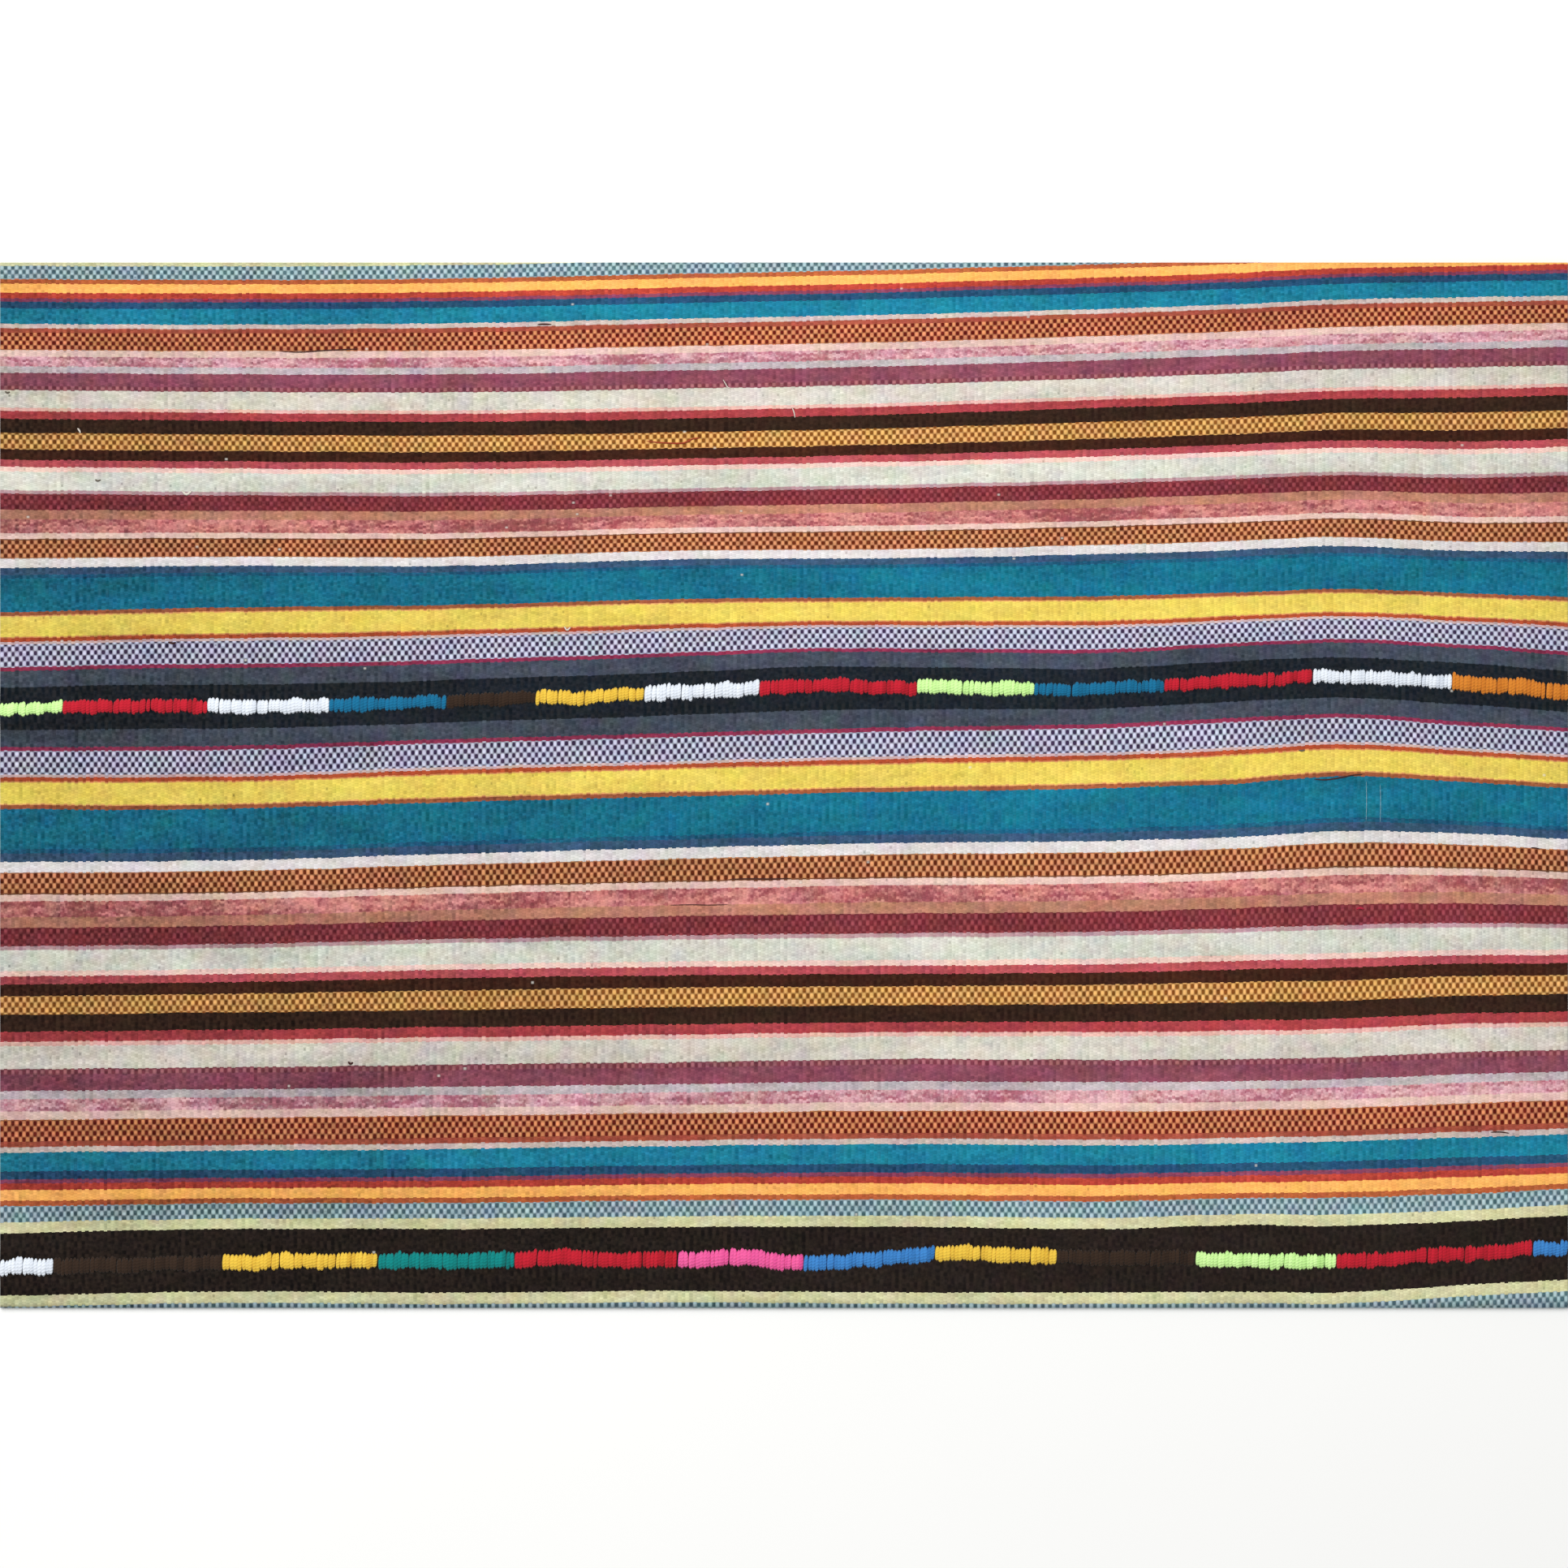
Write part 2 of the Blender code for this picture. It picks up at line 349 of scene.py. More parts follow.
def stripeRamp(tree, end, first, last, yarn):
    # A table with one colour for each end from first on. Its alpha says how a stripe's two yarns meet. In the
    # first yarn's table it is 0 for a plain stripe and (1 + starting end modulo 4) / 4 for a check. In the
    # second yarn's table it is the share or drift.
    place = addNode(tree, "Math", {"operation": "MULTIPLY_ADD"},
                    {0: end, 1: 1 / weave["rampSlots"], 2: (0.5 - first) / weave["rampSlots"]})
    ramp = addNode(tree, "ValToRGB", None, {0: place})
    band = ramp.color_ramp
    band.interpolation = "CONSTANT"
    start = 0
    stops = []
    for _, count, firstYarn, secondYarn, kind, amount in threading:
        if first <= start < last:
            alpha = amount
            if yarn == 0:
                alpha = 0.0 if kind == "plain" else (1 + start % 4) / 4
            colour = linear((firstYarn, secondYarn)[yarn])
            stops.append((max(0.0, (start - first - 0.5) / weave["rampSlots"]), (*colour[:3], alpha)))
        start += count
    while len(band.elements) < len(stops):
        band.elements.new(1.0)
    for element, (position, colour) in zip(band.elements, stops):
        element.position = position
        element.color = colour
    return ramp


def stripeYarns(tree, end):
    # Each yarn's colour and alpha at this end, from the ramp that holds it.
    isHigh = addNode(tree, "Math", {"operation": "GREATER_THAN"}, {0: end, 1: weave["splitEnd"] - 0.5})
    found = []
    for yarn in (0, 1):
        low = stripeRamp(tree, end, 0, weave["splitEnd"], yarn)
        high = stripeRamp(tree, end, weave["splitEnd"], endCount, yarn)
        colour = addNode(tree, "Mix", {"data_type": "RGBA"}, {0: isHigh, 6: low, 7: high})
        alpha = addNode(tree, "Mix", {"data_type": "FLOAT"},
                        {0: isHigh, 2: low.outputs["Alpha"], 3: high.outputs["Alpha"]})
        found += [colour.outputs[2], alpha.outputs[0]]
    return found


def topEnd(tree, u, v):
    # The end on top at this pick: even ends show on even picks and odd ends on odd picks. Gives the pick, its
    # parity, the pair of ends, the end and the place across it.
    pick = addNode(tree, "Math", {"operation": "FLOOR"}, {0: u})
    parity = addNode(tree, "Math", {"operation": "FLOORED_MODULO"}, {0: pick, 1: 2.0})
    shifted = addNode(tree, "Math", {"operation": "SUBTRACT"}, {0: v, 1: parity})
    halved = addNode(tree, "Math", {"operation": "MULTIPLY_ADD"}, {0: shifted, 1: 0.5, 2: 0.25})
    pair = addNode(tree, "Math", {"operation": "FLOOR"}, {0: halved})
    end = addNode(tree, "Math", {"operation": "MULTIPLY_ADD"}, {0: pair, 1: 2.0, 2: parity})
    across = addNode(tree, "Math", {"operation": "SUBTRACT"}, {0: v, 1: end})
    return pick, parity, pair, end, across


def dyedEnd(tree, v, parity, pickNoise):
    # The end that gives the dye: a stripe's edge steps from pick to pick, because odd and even ends take
    # turns.
    evenStep = 0.5 - weave["borderStep"] / 2 - weave["borderJitter"] / 2
    step = addNode(tree, "Math", {"operation": "MULTIPLY_ADD"},
                   {0: parity, 1: weave["borderStep"], 2: evenStep})
    step = addNode(tree, "Math", {"operation": "MULTIPLY_ADD"},
                   {0: pickNoise, 1: weave["borderJitter"], 2: step})
    stepped = addNode(tree, "Math", {"operation": "ADD"}, {0: v, 1: step})
    return addNode(tree, "Math", {"operation": "FLOOR"}, {0: stepped})


def checkSquares(tree, u, v, checkCode, amount):
    # Sine of the pick times sine of four ends, a soft chequerboard of rounded squares. Gives the light yarn's
    # cover and both sines.
    phase = addNode(tree, "Math", {"operation": "MULTIPLY_ADD"}, {0: checkCode, 1: 4.0, 2: -1.0})
    pickTurn = addNode(tree, "Math", {"operation": "MULTIPLY"}, {0: u, 1: np.pi})
    pickWave = addNode(tree, "Math", {"operation": "SINE"}, {0: pickTurn})
    endPlace = addNode(tree, "Math", {"operation": "SUBTRACT"}, {0: v, 1: phase})
    endTurn = addNode(tree, "Math", {"operation": "MULTIPLY"}, {0: endPlace, 1: np.pi / 4})
    endWave = addNode(tree, "Math", {"operation": "SINE"}, {0: endTurn})
    board = addNode(tree, "Math", {"operation": "MULTIPLY"}, {0: pickWave, 1: endWave})
    squares = addNode(tree, "Math", {"operation": "MULTIPLY_ADD", "use_clamp": True},
                      {0: board, 1: weave["checkGain"], 2: amount})
    return squares, pickWave, endWave


def dyeStreaks(tree, u, pair, drift, amount):
    # Streaks along each pair of ends, where a yarn's colour drifts: the first yarn's cover is
    # 0.5 + amount * (streakGain * (noise - 0.5) + streakDrift * (slow noise - 0.5)).
    along = addNode(tree, "Math", {"operation": "MULTIPLY"}, {0: u, 1: 1 / weave["streakPicks"]})
    row = addNode(tree, "Math", {"operation": "MULTIPLY"}, {0: pair, 1: weave["streakRows"]})
    streakPlace = addNode(tree, "CombineXYZ", None, {0: along, 1: row})
    streak = addNode(tree, "TexNoise", {"noise_dimensions": "2D"},
                     {"Vector": streakPlace, "Scale": 1.0, "Detail": 3.0, "Roughness": 0.85})
    middle = -0.5 * (weave["streakGain"] + weave["streakDrift"])
    swing = addNode(tree, "Math", {"operation": "MULTIPLY_ADD"},
                    {0: streak, 1: weave["streakGain"], 2: middle})
    swing = addNode(tree, "Math", {"operation": "MULTIPLY_ADD"},
                    {0: drift, 1: weave["streakDrift"], 2: swing})
    return addNode(tree, "Math", {"operation": "MULTIPLY_ADD", "use_clamp": True},
                   {0: swing, 1: amount, 2: 0.5})


def floatHeight(tree, across, pickWave, endWave, isCheck):
    # High along the middle of each float, low between floats and between picks: the pick's sine times
    # (1 + crown) / 2, where the crown is round across a float, or across a square of a check.
    ridge = addNode(tree, "Math", {"operation": "ABSOLUTE"}, {0: pickWave})
    brickTurn = addNode(tree, "Math", {"operation": "MULTIPLY_ADD"},
                        {0: across, 1: np.pi / 2, 2: -np.pi / 4})
    brick = addNode(tree, "Math", {"operation": "COSINE"}, {0: brickTurn})
    checkCell = addNode(tree, "Math", {"operation": "ABSOLUTE"}, {0: endWave})
    crown = addNode(tree, "Mix", {"data_type": "FLOAT"}, {0: isCheck, 2: brick, 3: checkCell})
    crown = addNode(tree, "Math", {"operation": "MULTIPLY_ADD"}, {0: crown, 1: 0.5, 2: 0.5})
    return brick, addNode(tree, "Math", {"operation": "MULTIPLY"}, {0: ridge, 1: crown})


def paintedRibShade(tree, u, v, pickWave):
    # Painted rib shade: the pick's sine, which changes sign from pick to pick, times a slow noise round 0.
    along = addNode(tree, "Math", {"operation": "MULTIPLY"}, {0: u, 1: 1 / weave["twinPicks"]})
    across = addNode(tree, "Math", {"operation": "MULTIPLY"}, {0: v, 1: 1 / weave["twinEnds"]})
    twinPlace = addNode(tree, "CombineXYZ", None, {0: along, 1: across})
    twinNoise = addNode(tree, "TexNoise", {"noise_dimensions": "2D"},
                        {"Vector": twinPlace, "Scale": 1.0, "Detail": 2.0, "Roughness": 0.6})
    twinSize = addNode(tree, "Math", {"operation": "SUBTRACT"}, {0: twinNoise, 1: 0.5})
    return addNode(tree, "Math", {"operation": "MULTIPLY"}, {0: pickWave, 1: twinSize})


def paintedFalloff(tree, place):
    # Painted light falloff, as two smooth steps along x + the lean * y: the left end is darker as painted
    # shade, and the right end dips a little, painted shade that begins over the cockle near x = 335 mm.
    spot = addNode(tree, "SeparateXYZ", None, {0: place})
    askew = addNode(tree, "Math", {"operation": "MULTIPLY_ADD"},
                    {0: spot.outputs["Y"], 1: weave["falloffLean"], 2: spot.outputs["X"]})
    steps = []
    for places, tones in (("falloffPlaces", "falloffTones"), ("foldShadePlaces", "foldShadeTones")):
        steps.append(addNode(tree, "MapRange", {"interpolation_type": "SMOOTHSTEP"}, {
            "Value": askew, "From Min": weave[places][0], "From Max": weave[places][1],
            "To Min": weave[tones][0], "To Max": weave[tones][1],
        }))
    return addNode(tree, "Math", {"operation": "ADD"}, {0: steps[0], 1: steps[1]})


def unevenTone(tree, place, dyed, noises, ribShade, height):
    # Unevenness is the sum of each amount * (its noise - 0.5), the painted rib shade, slubs and the painted
    # light falloff. The tone is 1 + unevenness * (deepWeight - weightFall * brightness), because deep colours
    # show it most, and no less than toneFloor.
    uneven = -0.5 * sum(weave[name] for name in noises)
    for name, noise in noises.items():
        uneven = addNode(tree, "Math", {"operation": "MULTIPLY_ADD"}, {0: noise, 1: weave[name], 2: uneven})
    # painted rib shade, lighter and darker from pick to pick
    uneven = addNode(tree, "Math", {"operation": "MULTIPLY_ADD"},
                     {0: ribShade, 1: weave["ribShadeTone"], 2: uneven})
    brightness = addNode(tree, "RGBToBW", None, {0: dyed})
    nep = addNode(tree, "Math", {"operation": "GREATER_THAN"},
                  {0: noises["floatTone"], 1: 1 - weave["nepShare"]})
    nep = addNode(tree, "Math", {"operation": "MULTIPLY"}, {0: nep, 1: brightness})
    nep = addNode(tree, "Math", {"operation": "MULTIPLY"}, {0: nep, 1: height})
    uneven = addNode(tree, "Math", {"operation": "MULTIPLY_ADD"},
                     {0: nep, 1: -weave["nepTone"], 2: uneven})
    # painted light falloff, with its painted shade dip over the cockle
    uneven = addNode(tree, "Math", {"operation": "ADD"}, {0: uneven, 1: paintedFalloff(tree, place)})
    weight = addNode(tree, "Math", {"operation": "MULTIPLY_ADD"},
                     {0: brightness, 1: -weave["weightFall"], 2: weave["deepWeight"]})
    tone = addNode(tree, "Math", {"operation": "MULTIPLY_ADD"}, {0: uneven, 1: weight, 2: 1.0})
    return addNode(tree, "Math", {"operation": "MAXIMUM"}, {0: tone, 1: weave["toneFloor"]})


def paintedCreviceShade(tree, brick, height, isCheck):
    # Painted shade: the dark lines between neighbouring ends, and round the squares of a check, with a little
    # painted light along the middle of each float: 1 + crevice * (rise - meanRise).
    crevice = addNode(tree, "Mix", {"data_type": "FLOAT"},
                      {0: isCheck, 2: weave["crevice"], 3: weave["checkCrevice"]})
    rise = addNode(tree, "Mix", {"data_type": "FLOAT"}, {0: isCheck, 2: brick, 3: height})
    hollow = addNode(tree, "Math", {"operation": "SUBTRACT"}, {0: rise, 1: weave["meanRise"]})
    return addNode(tree, "Math", {"operation": "MULTIPLY_ADD"}, {0: hollow, 1: crevice, 2: 1.0})


def looseFibres(tree, colour, noises, ribShade, height):
    # Lint on a few floats, and fuzz: pale fibres over the dyed ones, thick and thin.
    lint = addNode(tree, "Math", {"operation": "LESS_THAN"}, {0: noises["floatTone"], 1: weave["lintShare"]})
    lint = addNode(tree, "Math", {"operation": "MULTIPLY"}, {0: lint, 1: weave["lintCover"]})
    lint = addNode(tree, "Math", {"operation": "MULTIPLY"}, {0: lint, 1: height})
    linted = addNode(tree, "Mix", {"data_type": "RGBA"},
                     {0: lint, 6: colour, 7: linear(weave["lintColour"])})
    fuzz = addNode(tree, "Math", {"operation": "MULTIPLY_ADD"},
                   {0: ribShade, 1: weave["fuzzTicks"], 2: noises["fleckTone"]})
    fuzz = addNode(tree, "Math", {"operation": "MULTIPLY_ADD"},
                   {0: noises["floatTone"], 1: weave["fuzzFloats"], 2: fuzz})
    fuzz = addNode(tree, "Math", {"operation": "SUBTRACT", "use_clamp": True},
                   {0: fuzz, 1: weave["fuzzBare"]})
    fuzz = addNode(tree, "Math", {"operation": "MULTIPLY"}, {0: fuzz, 1: weave["fuzz"]})
    return addNode(tree, "Mix", {"data_type": "RGBA"},
                   {0: fuzz, 6: linted.outputs[2], 7: linear(weave["fuzzColour"])})


def warpFacedWool():
    # Warp-faced plain weave of hand-spun wool: round floats, one pick long and two ends high, set like
    # bricks. It looks matt and slightly hairy, with dotted stripe borders, and checks where two yarns take
    # turns in the warp. The UV map gives the pick and the end.
    material, tree, shader = newMaterial("warp_faced_wool")
    threads = addNode(tree, "UVMap", {"uv_map": "threads"})
    place = addNode(tree, "TexCoord").outputs["Object"]
    thread = addNode(tree, "SeparateXYZ", None, {0: threads})
    u = thread.outputs["X"]
    stray = addNode(tree, "TexNoise", None,
                    {"Vector": place, "Scale": weave["wanderPerMetre"], "Detail": 1.0})
    stray = addNode(tree, "Math", {"operation": "SUBTRACT"}, {0: stray, 1: 0.5})
    v = addNode(tree, "Math", {"operation": "MULTIPLY_ADD"},
                {0: stray, 1: weave["wander"] * 2, 2: thread.outputs["Y"]})
    pick, parity, pair, end, across = topEnd(tree, u, v)

    floatCell = addNode(tree, "CombineXYZ", None, {0: pick, 1: end})
    driftPlace = addNode(tree, "Mapping", None, {"Vector": place, "Scale": weave["driftStretch"]})
    noises = {
        "floatTone": addNode(tree, "TexWhiteNoise", {"noise_dimensions": "2D"}, {"Vector": floatCell}),
        "pickTone": addNode(tree, "TexWhiteNoise", {"noise_dimensions": "1D"}, {"W": pick}),
        "fleckTone": addNode(tree, "TexNoise", None,
                             {"Vector": place, "Scale": weave["flecksPerMetre"], "Detail": 2.0}),
        "driftTone": addNode(tree, "TexNoise", None, {
            "Vector": driftPlace, "Scale": weave["driftsPerMetre"], "Detail": 4.0, "Roughness": 0.6,
        }),
    }

    # The dye: two yarns for each stripe, mixed as squares in a check, whose code is over 0, and as streaks in
    # a plain stripe.
    dyeEnd = dyedEnd(tree, v, parity, noises["pickTone"])
    firstColour, checkCode, secondColour, amount = stripeYarns(tree, dyeEnd)
    isCheck = addNode(tree, "Math", {"operation": "GREATER_THAN"}, {0: checkCode, 1: 0.1})
    squares, pickWave, endWave = checkSquares(tree, u, v, checkCode, amount)
    streaks = dyeStreaks(tree, u, pair, noises["driftTone"], amount)
    cover = addNode(tree, "Mix", {"data_type": "FLOAT"}, {0: isCheck, 2: streaks, 3: squares})
    dyed = addNode(tree, "Mix", {"data_type": "RGBA"},
                   {0: cover, 6: secondColour, 7: firstColour}).outputs[2]

    # The yarn's own unevenness, painted rib and crevice shade and painted light falloff, a little change of
    # hue, and fibres over it.
    brick, height = floatHeight(tree, across, pickWave, endWave, isCheck)
    ribShade = paintedRibShade(tree, u, v, pickWave)
    tone = addNode(tree, "Math", {"operation": "MULTIPLY"}, {
        0: unevenTone(tree, place, dyed, noises, ribShade, height),
        1: paintedCreviceShade(tree, brick, height, isCheck),
    })
    toned = addNode(tree, "Mix", {"data_type": "RGBA", "blend_type": "MULTIPLY"},
                    {0: 1.0, 6: dyed, 7: tone})
    hue = addNode(tree, "TexNoise", None, {"Vector": place, "Scale": weave["huesPerMetre"], "Detail": 1.0})
    tinted = addNode(tree, "Mix", {"data_type": "RGBA", "blend_type": "SOFT_LIGHT"},
                     {0: weave["hueShift"], 6: toned.outputs[2], 7: hue.outputs["Color"]})
    fuzzy = looseFibres(tree, tinted.outputs[2], noises, ribShade, height)
    tree.links.new(fuzzy.outputs[2], shader.inputs["Base Color"])

    hairy = addNode(tree, "Math", {"operation": "MULTIPLY_ADD"},
                    {0: noises["fleckTone"], 1: weave["hairiness"], 2: height})
    bump = addNode(tree, "Bump", None,
                   {"Strength": weave["bumpStrength"], "Distance": weave["bump"], "Height": hairy})
    tree.links.new(bump.outputs[0], shader.inputs["Normal"])
    shader.inputs["Roughness"].default_value = 0.95
    shader.inputs["Specular IOR Level"].default_value = 0.08
    shader.inputs["Sheen Weight"].default_value = 0.03
    shader.inputs["Sheen Roughness"].default_value = 0.6
    return material


def stripLines(name, x):
    # Lines along a strip, from its first row to its last, and the warp end that each one follows: the rounded
    # selvedges at the seams, the guides between them, and the cloth's cut side.
    lines = [smoothLine(np.array(guideX) * mm, np.array(y) * mm, x) for _, y in guides[name]]
    ends = [np.full(len(x), e) for e, _ in guides[name]]
    selvedge = [0.0, cloth["selvedgeRow"], cloth["selvedgeWidth"]]
    if name == "upper_strip":
        edge = seamY("upper", x) + seams["gap"] / 2
        pitch = (lines[0] - edge) / ends[0]
        lines = [edge + d for d in selvedge] + lines + [np.full(len(x), cadHigh.y)]
        ends = [d / pitch for d in selvedge] + ends
        ends.append(ends[-1] + (lines[-1] - lines[-2]) / cutPitch[name])
    elif name == "middle_strip":
        high = seamY("upper", x) - seams["gap"] / 2
        low = seamY("lower", x) + seams["gap"] / 2
        pitchHigh = (high - lines[0]) / ends[0]
        pitchLow = (lines[-1] - low) / (endCount - ends[-1])
        lines = [high - d for d in selvedge] + lines + [low + d for d in reversed(selvedge)]
        ends = [d / pitchHigh for d in selvedge] + ends
        ends += [endCount - d / pitchLow for d in reversed(selvedge)]
    else:
        edge = seamY("lower", x) - seams["gap"] / 2
        pitch = (edge - lines[0]) / (endCount - ends[0])
        lines = [edge - d for d in selvedge] + lines + [np.full(len(x), cadLow.y)]
        ends = [endCount - d / pitch for d in selvedge] + ends
        ends.append(ends[-1] - (lines[-2] - lines[-1]) / cutPitch[name])
    return lines, ends


def rowCounts(lines):
    # Rows between neighbouring lines: an even number, about rowStep apart.
    counts = []
    for line, after in zip(lines[:-1], lines[1:]):
        width = np.abs(after - line).mean()
        even = max(2, 2 * int(round(width / cloth["rowStep"] / 2)))
        counts.append(2 if width < cloth["narrowBand"] else even)
    return counts


def subdivided(lines, counts):
    # Rows between neighbouring lines, sharing the space evenly. The last line closes the list.
    rows = []
    for low, high, count in zip(lines[:-1], lines[1:], counts):
        for k in range(count):
            rows.append(low + (high - low) * k / count)
    rows.append(lines[-1])
    return np.array(rows)


def closedSheet(name, x, y, top, under, threads, rowsRise, material):
    # A sheet from grids of x, y and both heights, closed along its four sides. The underside has every
    # second row and column. Faces point outward: rowsRise says that Y rises from row to row.
    rows, columns = y.shape
    lowRows, lowColumns = rows // 2 + 1, columns // 2 + 1
    topIndex = np.arange(rows * columns).reshape(rows, columns)
    lowIndex = rows * columns + np.arange(lowRows * lowColumns).reshape(lowRows, lowColumns)
    points = np.concatenate([
        np.stack([x, y, top], axis=-1).reshape(-1, 3),
        np.stack([x, y, under], axis=-1)[::2, ::2].reshape(-1, 3),
    ])
    uv = np.concatenate([threads.reshape(-1, 2), threads[::2, ::2].reshape(-1, 2)])

    def quads(index):
        corners = [index[:-1, :-1], index[:-1, 1:], index[1:, 1:], index[1:, :-1]]
        return np.stack(corners, axis=-1).reshape(-1, 4)

    def rim(fine, coarse):
        # Each face joins one edge of the underside to two edges of the top.
        return np.stack([fine[:-1:2], coarse[:-1], coarse[1:], fine[2::2], fine[1::2]], axis=-1)

    flat = [quads(topIndex)[:, ::-1], quads(lowIndex)]
    rims = [
        rim(topIndex[0], lowIndex[0])[:, ::-1],
        rim(topIndex[-1], lowIndex[-1]),
        rim(topIndex[:, 0], lowIndex[:, 0]),
        rim(topIndex[:, -1], lowIndex[:, -1])[:, ::-1],
    ]
    faces = flat + rims
    if rowsRise:
        faces = [f[:, ::-1] for f in faces]
    polygons = [p for group in faces for p in group.tolist()]
    smooth = np.ones(len(polygons), bool)
    smooth[sum(len(f) for f in flat):] = False
    return addPiece(name, points, polygons, smooth, "threads", uv, material)


def wovenStrip(name, firstPick, material):
    # A closed sheet on a grid of picks and warps. Top height = lift + thickness + rib, with the rib
    # ribHeight * sin(pi * pick)^2, and the underside = lift + the same rib turned over. At a seam the top
    # drops by selvedgeDrop * (1 - distance / selvedgeWidth)^2, and the underside rises by a share of that.
    columns = cloth["picks"] * cloth["columnsPerPick"] + 1
    pickPlace = np.linspace(0, cloth["picks"], columns)
    beat = rng.normal(0, cloth["ribJitter"], cloth["picks"] + 1)
    beat[[0, -1]] = 0
    x = np.interp(pickPlace, np.arange(cloth["picks"] + 1), np.arange(cloth["picks"] + 1) + beat)
    x = cadLow.x + x * clothLength / cloth["picks"]

    lines, ends = stripLines(name, x)
    counts = rowCounts(lines)
    y = subdivided(lines, counts)
    v = subdivided(ends, counts)
    u = np.repeat(pickPlace[None, :] + firstPick, len(y), axis=0)
    free = 1 - (2 * pickPlace / cloth["picks"] - 1) ** cloth["swayPower"]
    sway = sum(share * np.sin(y * across + x * along + start)
               for across, along, start, share in cloth["swayWaves"])
    xGrid = x + cloth["ribSway"] * free * sway

    lift = clothLift(xGrid, y)
    rib = cloth["ribHeight"] * np.sin(np.pi * u) ** 2
    drop = np.zeros_like(y)
    for edge in ([y[0], y[-1]] if name == "middle_strip" else [y[0]]):
        near = np.clip(1 - np.abs(y - edge) / cloth["selvedgeWidth"], 0, 1)
        drop = drop + cloth["selvedgeDrop"] * near ** 2
    top = lift + cloth["thickness"] + rib - drop
    under = lift + cloth["ribHeight"] - rib + drop * cloth["selvedgeTuck"]
    threads = np.stack([u, v], axis=-1)
    piece = closedSheet(name + "_cloth", xGrid, y, top, under, threads, name == "upper_strip", material)
    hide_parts(name)
    width = float(np.abs(y[-1] - y[0]).mean())
    print("woven", name, "rows", len(y), "columns", columns, "width", round(width, 4))
    return piece, width


clothMaterial = warpFacedWool()
sheets = {
    name: wovenStrip(name, cloth["pickOffset"] * order, clothMaterial)
    for order, name in enumerate(guides)
}


# Wool yarn of the stitches and of the loose threads.
yarnLook = {
    "plies": 2,
    "pliesAlong": 3.0,           # how far they wind round a strand from its one end to the other, in turns
    "mixStart": -0.37,           # cover of the main colour is this and the sum of each amount * its noise
    "turnTone": 0.45,
    "sunkenRunShade": 1.4,            # painted shade: runs of turns darker as if sunken, and lighter between
    "groupScale": 0.43,
    "fibreTone": 0.5,
    "fibresPerMetre": 700.0,
    # painted shade in the grooves between the plies, and painted light on their crowns
    "plyGrooveShade": 0.16,
    "plyRelief": 0.7,
    "bump": 0.25 * mm,
    "bumpStrength": 0.6,
    "taper": 0.3,                # the lower, the blunter a strand's ends
    "roundShare": 0.98,          # share of V's unit that goes round a strand, so that V's floor is its number
}


def softYarn(name, main, dark):
    # Loosely plied wool: soft and matt, its plies wound round it as a faint twist, each strand a little
    # different. The UV map gives the place along a strand, and its number plus the place round it.
    material, tree, shader = newMaterial(name)
    strand = addNode(tree, "UVMap", {"uv_map": "strand"})
    place = addNode(tree, "TexCoord").outputs["Object"]
    split = addNode(tree, "SeparateXYZ", None, {0: strand})
    turn = addNode(tree, "Math", {"operation": "FLOOR"}, {0: split.outputs["Y"]})
    roundIt = addNode(tree, "Math", {"operation": "SUBTRACT"}, {0: split.outputs["Y"], 1: turn})
    tone = addNode(tree, "TexWhiteNoise", {"noise_dimensions": "1D"}, {"W": turn})
    group = addNode(tree, "TexNoise", {"noise_dimensions": "1D"},
                    {"W": turn, "Scale": yarnLook["groupScale"], "Detail": 1.0})
    fibres = addNode(tree, "TexNoise", None,
                     {"Vector": place, "Scale": yarnLook["fibresPerMetre"], "Detail": 3.0})
    ply = addNode(tree, "Math", {"operation": "MULTIPLY_ADD"},
                  {0: split.outputs["X"], 1: yarnLook["pliesAlong"], 2: roundIt})
    plyTurn = addNode(tree, "Math", {"operation": "MULTIPLY"}, {0: ply, 1: yarnLook["plies"] * 2 * np.pi})
    plyWave = addNode(tree, "Math", {"operation": "SINE"}, {0: plyTurn})
    # The darker tone is mixed in for random tone from turn to turn and in the fibres, and as painted shade on
    # sunken runs of turns and in the grooves between the plies.
    cover = addNode(tree, "Math", {"operation": "MULTIPLY_ADD"},
                    {0: tone, 1: yarnLook["turnTone"], 2: yarnLook["mixStart"]})
    cover = addNode(tree, "Math", {"operation": "MULTIPLY_ADD"},
                    {0: group, 1: yarnLook["sunkenRunShade"], 2: cover})
    cover = addNode(tree, "Math", {"operation": "MULTIPLY_ADD"},
                    {0: fibres, 1: yarnLook["fibreTone"], 2: cover})
    cover = addNode(tree, "Math", {"operation": "MULTIPLY_ADD", "use_clamp": True},
                    {0: plyWave, 1: yarnLook["plyGrooveShade"], 2: cover})
    mixed = addNode(tree, "Mix", {"data_type": "RGBA"}, {0: cover, 6: linear(dark), 7: linear(main)})
    tree.links.new(mixed.outputs[2], shader.inputs["Base Color"])
    relief = addNode(tree, "Math", {"operation": "MULTIPLY_ADD"},
                     {0: plyWave, 1: yarnLook["plyRelief"], 2: fibres})
    bump = addNode(tree, "Bump", None,
                   {"Strength": yarnLook["bumpStrength"], "Distance": yarnLook["bump"], "Height": relief})
    tree.links.new(bump.outputs[0], shader.inputs["Normal"])
    shader.inputs["Roughness"].default_value = 0.92
    shader.inputs["Specular IOR Level"].default_value = 0.12
    shader.inputs["Sheen Weight"].default_value = 0.08
    return material


